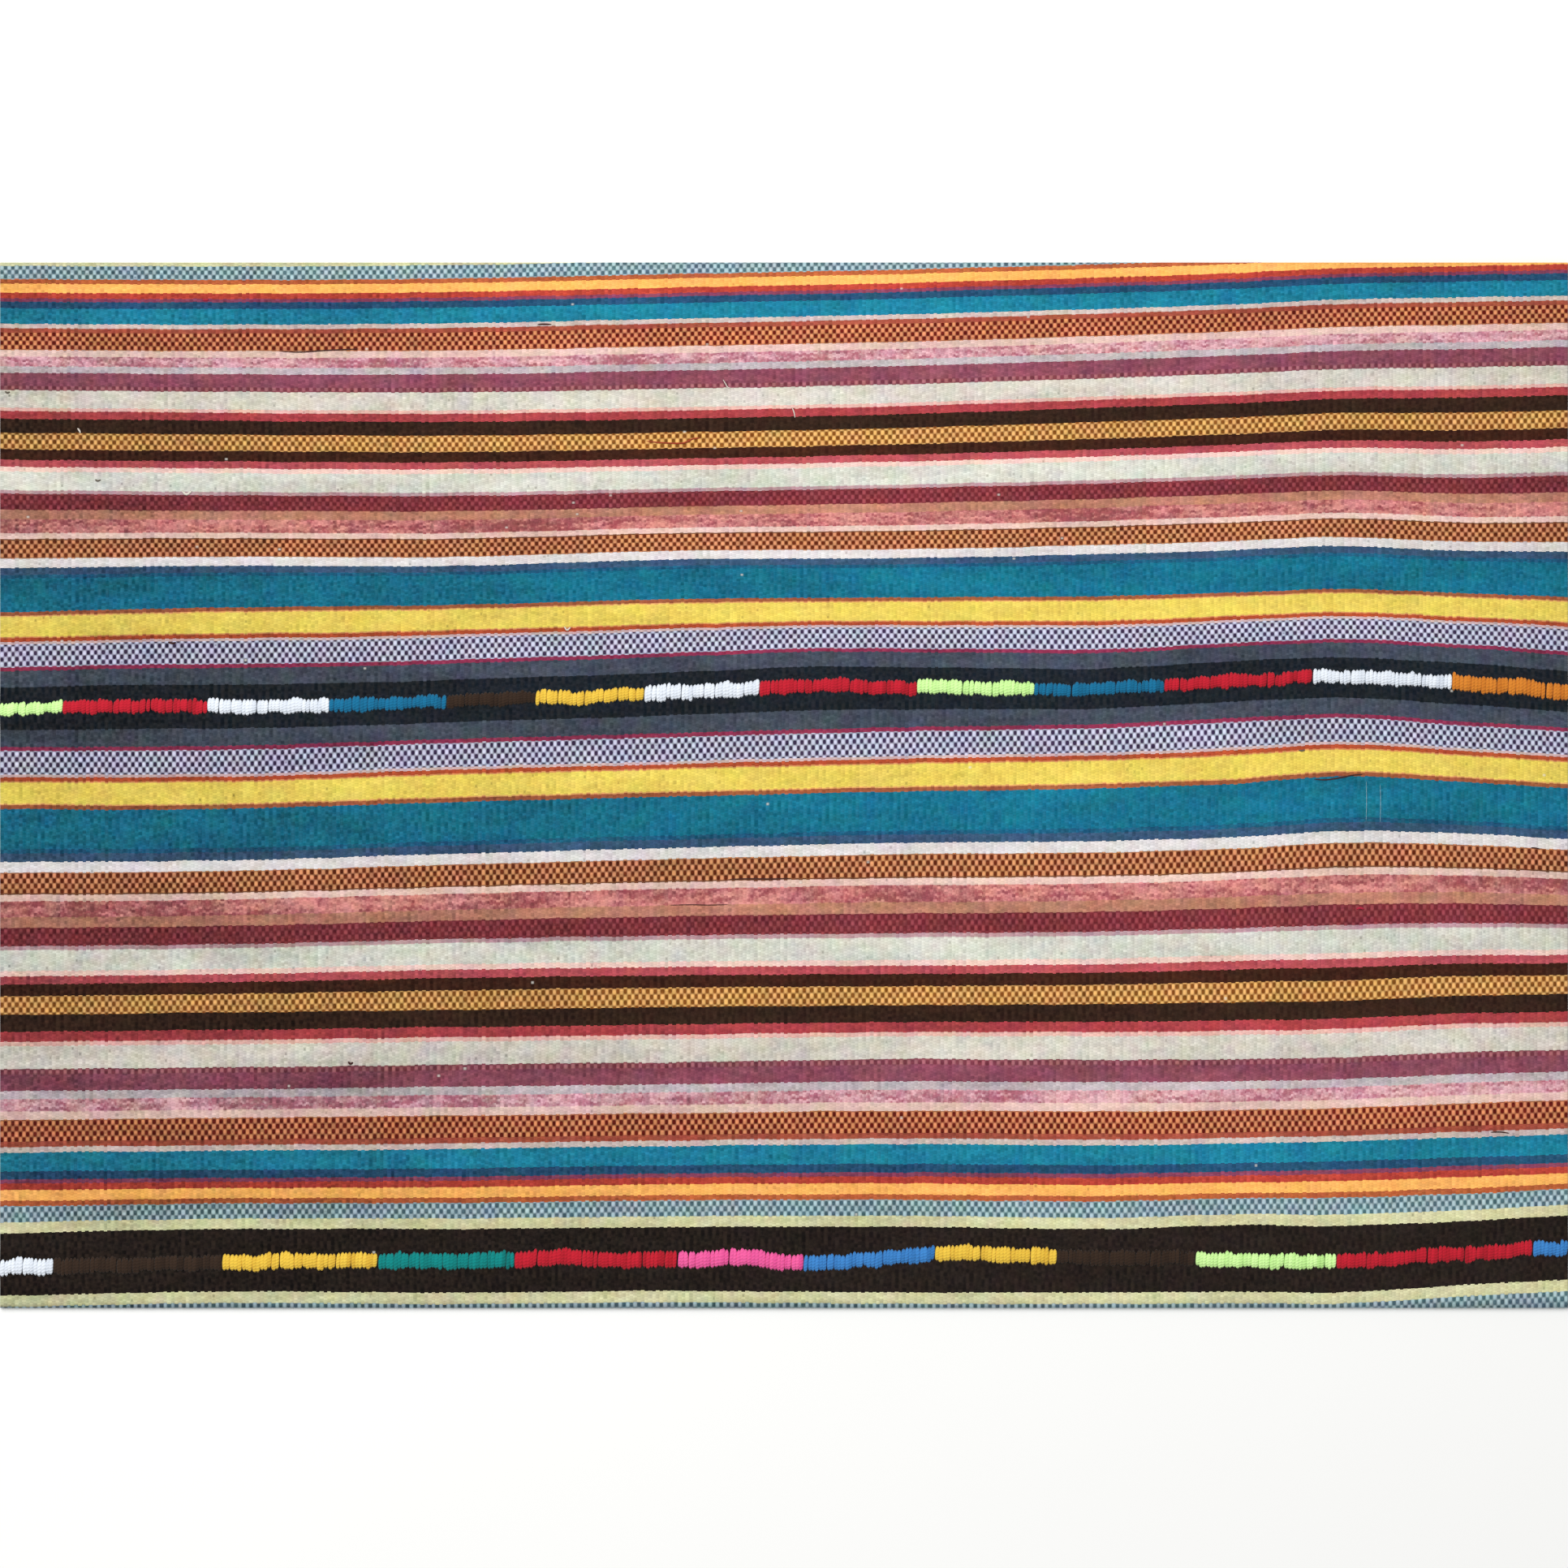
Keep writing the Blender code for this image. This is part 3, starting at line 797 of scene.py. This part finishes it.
def strands(name, path, halfWidth, halfDepth, pointsRound, material):
    # Closed strands, one for each row of path (strands, rings, xyz). A ring is an ellipse square to the path,
    # and its size falls to nothing at both ends as sin(pi * s)^taper.
    count, ringCount, _ = path.shape
    s = np.linspace(0, 1, ringCount)
    taper = np.clip(np.sin(np.pi * s), 0, 1) ** yarnLook["taper"]
    heading = np.gradient(path[:, :, :2], axis=1)
    heading = heading / np.linalg.norm(heading, axis=2, keepdims=True)
    theta = np.linspace(0, 2 * np.pi, pointsRound, endpoint=False)
    wide = (halfWidth * taper)[:, :, None] * np.cos(theta)
    deep = (halfDepth * taper)[:, :, None] * np.sin(theta)
    rings = np.stack([
        path[:, :, None, 0] + heading[:, :, None, 1] * wide,
        path[:, :, None, 1] - heading[:, :, None, 0] * wide,
        path[:, :, None, 2] + deep,
    ], axis=-1)
    innerCount = (ringCount - 2) * pointsRound
    poles = rings[:, [0, -1], 0]
    points = np.concatenate([rings[:, 1:-1].reshape(count, innerCount, 3), poles], axis=1).reshape(-1, 3)

    i = np.arange(ringCount - 3)[:, None] * pointsRound
    j = np.arange(pointsRound)
    after = (j + 1) % pointsRound
    last = (ringCount - 3) * pointsRound
    tube = np.stack([i + j, i + pointsRound + j, i + pointsRound + after, i + after], axis=-1)
    startCap = np.stack([np.full(pointsRound, innerCount), j, after], axis=-1)
    endCap = np.stack([np.full(pointsRound, innerCount + 1), last + after, last + j], axis=-1)
    shift = np.arange(count)[:, None, None] * (innerCount + 2)
    polygons = (tube.reshape(-1, 4) + shift).reshape(-1, 4).tolist()
    polygons += (startCap + shift).reshape(-1, 3).tolist()
    polygons += (endCap + shift).reshape(-1, 3).tolist()

    oneU = np.concatenate([np.repeat(s[1:-1], pointsRound), [0.0, 1.0]])
    oneV = np.concatenate([np.tile(j / pointsRound, ringCount - 2) * yarnLook["roundShare"], [0.0, 0.0]])
    number = np.repeat(np.arange(count), innerCount + 2)
    uv = np.stack([np.tile(oneU, count), np.tile(oneV, count) + number], axis=-1)
    return addPiece(name, points, polygons, np.ones(len(polygons), bool), "strand", uv, material)


# Stitch bars, one for each bar in model.glb.
stitch = {
    "pitch": 2.3 * mm,           # one turn to a weft rib
    "pitchJitter": 0.12,
    "endInset": 1.1 * mm,        # a turn's middle stays this far inside the bar's ends
    "halfWidth": 1.55 * mm,      # of one turn, so that neighbours press together
    "widthSpread": (0.85, 1.12),
    "height": 1.4 * mm,
    "heightSpread": (0.92, 1.08),
    "archPower": 0.45,           # the lower, the squarer a turn's arch
    "thinEnd": 0.35,             # depth of a turn at its ends, as a share of its middle's
    "sink": 0.2 * mm,            # how deep its ends go into the cloth
    "slant": 0.6 * mm,
    "slantJitter": 0.25 * mm,
    "ragged": 0.45 * mm,         # how unevenly single turns end
    "bulge": 0.45 * mm,          # how unevenly runs of turns end
    "bulgeStep": 4.5 * mm,
    "sway": 0.45 * mm,           # how far a bar wanders off the seam
    "swayStep": 14.0 * mm,
    "lean": 0.35 * mm,           # how far it lies off the seam altogether, towards lower Y
    "tip": 1.05 * mm,            # how far a turn's thin end reaches past the bar's solid
    "underShare": 0.4,           # half depth of the yarn underneath, as a share of the room there
    "underDepth": 0.08 * mm,
    "underHeight": 0.1 * mm,
    "ringsAlong": 7,
    "pointsRound": 8,
}
stitchWools = {
    # name: main colour, darker tone for random tone and painted shade
    "lime": ("#d4fda6", "#a6da78"),
    "red": ("#c42132", "#981823"),
    "white": ("#e8eef6", "#c6cfdc"),
    "blue": ("#18709a", "#105474"),
    "brown": ("#38291f", "#241913"),
    "yellow": ("#eec648", "#cc9c2e"),
    "green": ("#0e8885", "#0a6865"),
    "pink": ("#f262a2", "#d4458a"),
    "cornflower": ("#4086cc", "#2b66a4"),
    "orange": ("#d8842e", "#b4621c"),
}


def unevenLine(x, step, size):
    # A smooth random line along x, with a new value every step.
    knots = np.arange(x.min() - 2 * step, x.max() + 2 * step, step)
    return smoothLine(knots, rng.normal(0, size, len(knots)), x)


def stitchBar(node, material):
    # Each turn of yarn crosses the seam on top of the cloth, as high as height * sin(pi * s)^archPower, and
    # back under it, flattened into the room that the raised selvedges leave.
    low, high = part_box(node)
    seam = node.split("_")[0]
    count = max(2, int(round((high.x - low.x) / stitch["pitch"])))
    middles = low.x + (np.arange(count) + 0.5) * (high.x - low.x) / count
    middles = middles + rng.normal(0, stitch["pitchJitter"] * stitch["pitch"], count)
    middles = np.clip(middles, low.x + stitch["endInset"], high.x - stitch["endInset"])
    solid = nodePoints(node)
    halfWidth = np.abs(solid[:, 1] - seamY(seam, solid[:, 0])).max()
    sway = unevenLine(middles, stitch["swayStep"], stitch["sway"]) - stitch["lean"]

    s = np.linspace(0, 1, stitch["ringsAlong"])[None, :]
    arch = np.sin(np.pi * s) ** stitch["archPower"]
    paths = []
    widths = []
    depths = []
    for side in (1, -1):
        ends = []
        for direction in (-1, 1):
            bulge = unevenLine(middles, stitch["bulgeStep"], stitch["bulge"])
            reach = direction * (halfWidth + stitch["tip"])
            ends.append(reach + sway + bulge + rng.normal(0, stitch["ragged"], count))
        slant = side * stitch["slant"] + rng.normal(0, stitch["slantJitter"], count)
        y = seamY(seam, middles)[:, None] + ends[0][:, None] + (ends[1] - ends[0])[:, None] * s
        x = middles[:, None] + slant[:, None] * (s - 0.5)
        lift = clothLift(x, y)
        if side == 1:
            plump = stitch["height"] * rng.uniform(*stitch["heightSpread"], count)[:, None]
            depth = 0.5 * plump * (stitch["thinEnd"] + (1 - stitch["thinEnd"]) * arch)
            z = lift + cloth["thickness"] - stitch["sink"] + (plump + stitch["sink"] - depth) * arch
        else:
            depth = stitch["underShare"] * lift + stitch["underDepth"]
            z = 0.5 * lift + stitch["underHeight"]
        thick = stitch["halfWidth"] * rng.uniform(*stitch["widthSpread"], count)[:, None]
        paths.append(np.stack([x, y, z], axis=-1))
        widths.append(thick * np.ones_like(s))
        depths.append(depth * np.ones_like(s))
    piece = strands(node + "_turns", np.concatenate(paths), np.concatenate(widths), np.concatenate(depths),
                    stitch["pointsRound"], material)
    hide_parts(node)
    return piece


stitchMaterials = {wool: softYarn("stitch_wool_" + wool, *tones) for wool, tones in stitchWools.items()}
barNodes = sorted(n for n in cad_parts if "_seam_" in n)
bars = {node: stitchBar(node, stitchMaterials[node.split("_")[-1]]) for node in barNodes}
print("stitched", len(bars), "bars")

# Loose ends, slubs and tufts that stand out of the weave, in millimetres, seen from above.
loose = {
    "pointsRound": 6,
    "ringsBetween": 6,           # rings from one of a thread's points to the next
    "stand": 0.3,                # height of its middle over the ribs, as a share of its radius
}
looseWools = {
    # name: main colour, darker tone for random tone and painted shade
    "rust": ("#a8442c", "#7e2c1c"),
    "dark": ("#4a2a26", "#2a1614"),
    "pale": ("#e0d8cc", "#c4b8aa"),
    "crimson": ("#b82a44", "#8a1c34"),
    "grey": ("#6e665a", "#4c463e"),
    "ice": ("#8fb6c2", "#6c98a8"),
}
looseThreads = [
    # name, wool, radius, points
    ("rust_float", "rust", 0.50,
     [(-85, 212), (-76, 211), (-64, 210.6), (-60, 211.5), (-56, 213.4), (-51, 214)]),
    ("dark_float", "dark", 0.40,
     [(-311, 267.3), (-298, 266.8), (-283, 267.8), (-270, 268.4), (-262, 268.8)]),
    ("border_slub", "dark", 0.45, [(326, 3.6), (334, 3.4), (343, 4.8), (350, 6.2), (356, 6.6)]),
    ("check_end", "dark", 0.40, [(460, -38.4), (463, -38.7), (466, -39.4)]),
    ("cream_end", "dark", 0.40, [(435, -213.8), (441, -213.6), (447, -214.4)]),
    ("yellow_slub", "grey", 0.50, [(316.5, 21.6), (318.5, 21.2), (320.5, 21.8)]),
    ("white_slub", "grey", 0.55, [(-424.4, 188.3), (-422.8, 187.5), (-420.8, 188.2)]),
    ("edge_slub", "grey", 0.60, [(-480, 242.6), (-478.4, 241.8), (-476.8, 242.4)]),
    ("purple_slub", "dark", 0.70, [(-268.6, -170.3), (-267, -171.6), (-265.4, -170.6)]),
    ("teal_slub", "crimson", 0.60, [(-358.4, 299.4), (-356.5, 298.8), (-354.4, 299.2)]),
    ("maroon_slub", "crimson", 0.80, [(352.4, -76.4), (355, -75.6), (357.6, -76.4)]),
    ("maroon_tuft", "pale", 0.80, [(-370.8, 181.2), (-368, 179.2), (-364.6, 181.4)]),
    ("black_tuft", "pale", 0.60, [(-435.2, 220), (-434, 218.4), (-433.4, 216.8)]),
    ("purple_hair", "pale", 0.35, [(-37.6, 250), (-36, 247.3), (-34.4, 245), (-30.6, 244.2)]),
    ("rose_hair", "pale", 0.40, [(5, 232.6), (6.2, 229.6), (6.8, 226.2)]),
    ("check_tuft", "pale", 0.60, [(-135.4, 97.8), (-133.6, 95.6), (-131.4, 97.4)]),
    ("brown_float", "dark", 0.40, [(-34, -57.9), (-22, -57.6), (-9, -57.7), (4, -57.4)]),
    ("heather_slub", "dark", 0.30, [(-71, -73.9), (-58, -73.6), (-46, -73.8), (-34, -73.5)]),
    ("line_slub", "dark", 0.50, [(-152, 283.8), (-148, 284.0), (-143, 283.8)]),
    ("dark_tuft", "dark", 0.60, [(-379.5, 88.2), (-377, 87.4), (-374.5, 88.0)]),
    ("first_weft", "ice", 0.20, [(358.2, 3.0), (358.5, -10), (358.3, -23)]),
    ("second_weft", "ice", 0.20, [(366.8, 1.0), (367.2, -10), (367, -24)]),
]


def looseThread(name, radius, points, material):
    # A strand along a cubic through its points, partly sunk in the top of the cloth.
    points = np.array(points, float) * mm
    knots = np.arange(len(points))
    t = np.linspace(0, len(points) - 1, loose["ringsBetween"] * (len(points) - 1) + 1)
    x = smoothLine(knots, points[:, 0], t)
    y = smoothLine(knots, points[:, 1], t)
    z = clothLift(x, y) + cloth["thickness"] + cloth["ribHeight"] + loose["stand"] * radius * mm
    path = np.stack([x, y, z], axis=-1)[None]
    size = np.full((1, len(t)), radius * mm)
    piece = strands("loose_" + name, path, size, size, loose["pointsRound"], material)


looseMaterials = {wool: softYarn("loose_wool_" + wool, *tones) for wool, tones in looseWools.items()}
for name, wool, radius, points in looseThreads:
    looseThread(name, radius, points, looseMaterials[wool])
print("laid", len(looseThreads), "loose threads")


# Floor, light and camera.
studio = {
    "floorSize": 30.0,
    "floorDrop": 0.2 * mm,
    "floorGrey": "#fafaf8",
    "grainPerMetre": 6.0,
    "grainShade": 0.985,
    "keySize": 2.4,
    "keyPlace": (-0.9, 1.3, 2.6),
    "keyPower": 79.0,
    "world": 0.52,
    "lens": 85.0,
    "sensor": 36.0,
    "photoSide": 1932,
    "clothCentreRow": 967.5,
}


def paintedBoard():
    # Plain painted board under the cloth, pale and matt.
    material, tree, shader = newMaterial("painted_board")
    place = addNode(tree, "TexCoord").outputs["Object"]
    grain = addNode(tree, "TexNoise", None,
                    {"Vector": place, "Scale": studio["grainPerMetre"], "Detail": 3.0})
    pale = linear(studio["floorGrey"])
    shaded = tuple(studio["grainShade"] * c for c in pale)
    tint = addNode(tree, "Mix", {"data_type": "RGBA"}, {0: grain, 6: pale, 7: shaded})
    tree.links.new(tint.outputs[2], shader.inputs["Base Color"])
    shader.inputs["Roughness"].default_value = 0.95
    return material


half = studio["floorSize"] / 2
level = -studio["floorDrop"]
corners = [(-half, -half, level), (half, -half, level), (half, half, level), (-half, half, level)]
floorMesh = bpy.data.meshes.new("floor")
floorMesh.from_pydata(corners, [], [(0, 1, 2, 3)])
floorMesh.materials.append(paintedBoard())
floor = bpy.data.objects.new("floor", floorMesh)
bpy.context.scene.collection.objects.link(floor)

world = bpy.data.worlds.new("studio")
bpy.context.scene.world = world
world.use_nodes = True
world.node_tree.nodes["Background"].inputs["Color"].default_value = (1.0, 1.0, 1.0, 1.0)
world.node_tree.nodes["Background"].inputs["Strength"].default_value = studio["world"]

keyLight = bpy.data.lights.new("softbox", "AREA")
keyLight.shape = "SQUARE"
keyLight.size = studio["keySize"]
keyLight.energy = studio["keyPower"]
key = bpy.data.objects.new("softbox", keyLight)
bpy.context.scene.collection.objects.link(key)
key.location = studio["keyPlace"]
key.rotation_euler = (-key.location.normalized()).to_track_quat("-Z", "Y").to_euler()

# The camera looks straight down, and the cloth's length fills the width of its view.
cameraData = bpy.data.cameras.new("camera")
cameraData.lens = studio["lens"]
cameraData.sensor_width = studio["sensor"]
camera = bpy.data.objects.new("camera", cameraData)
bpy.context.scene.collection.objects.link(camera)
metresPerPixel = clothLength / studio["photoSide"]
cameraY = (studio["clothCentreRow"] - studio["photoSide"] / 2) * metresPerPixel
cameraHeight = clothLength / 2 * studio["lens"] / (studio["sensor"] / 2) + cloth["thickness"]
camera.location = (0, cameraY, cameraHeight)
bpy.context.scene.camera = camera
bpy.context.scene.view_settings.view_transform = "Standard"
